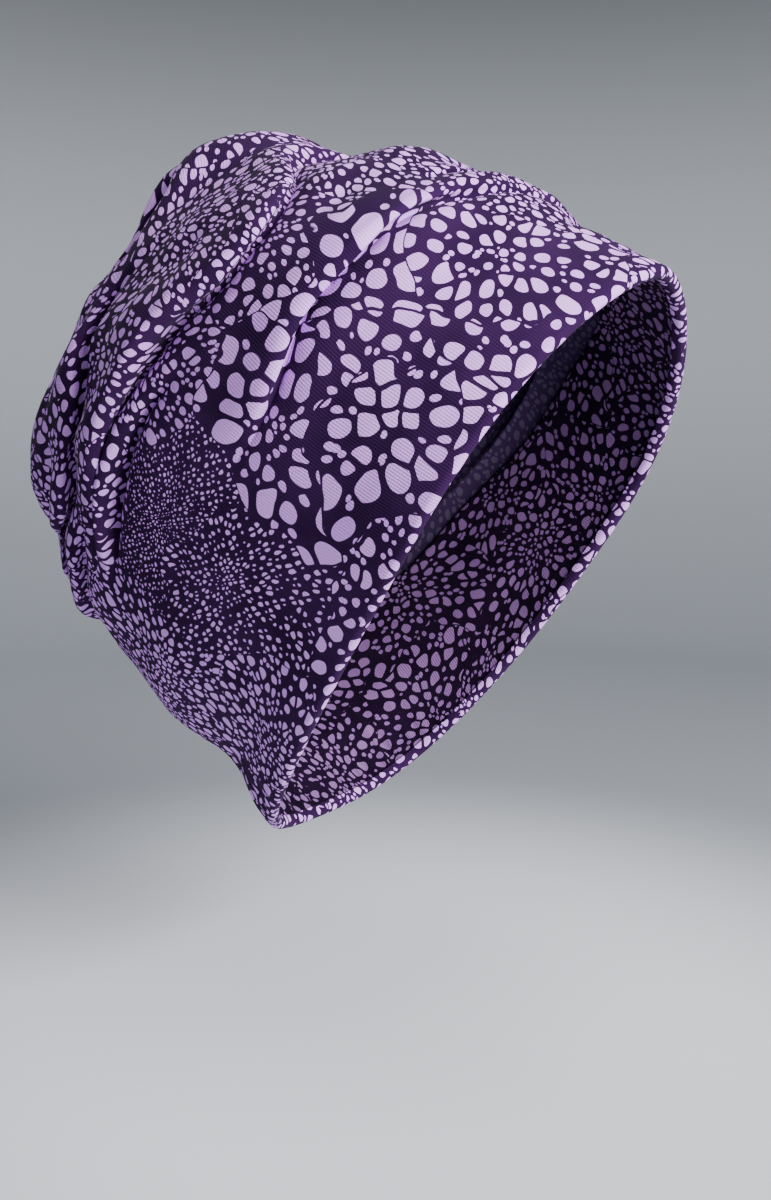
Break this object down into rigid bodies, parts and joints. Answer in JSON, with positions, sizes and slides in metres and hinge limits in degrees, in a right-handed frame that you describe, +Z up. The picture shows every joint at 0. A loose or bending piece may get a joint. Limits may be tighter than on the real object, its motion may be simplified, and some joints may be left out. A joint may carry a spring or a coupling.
{
  "type": "slouchy jersey chemo cap",
  "caption": "Deep soft cloth cap with a rolled slanting rim, a turned-in band, and ring folds bunched behind the crown, in its worn form.",
  "frame": {"origin": "highest point of the head inside the cap, in the hollow under the crown", "axes": "+Z up with the head upright, -Y the way the wearer faces, +X the wearer's left"},
  "size_m": [0.1835, 0.2525, 0.2605],
  "materials": {
    "printed_jersey": "matte ribbed jersey, dark purple ground with rounded lavender pebbles",
    "facing_jersey": "the same printed jersey, right side out, inside the rim"
  },
  "bodies": {
    "root": {"crown_shell": "printed_jersey", "rim_facing": "facing_jersey"}
  },
  "joints": []
}
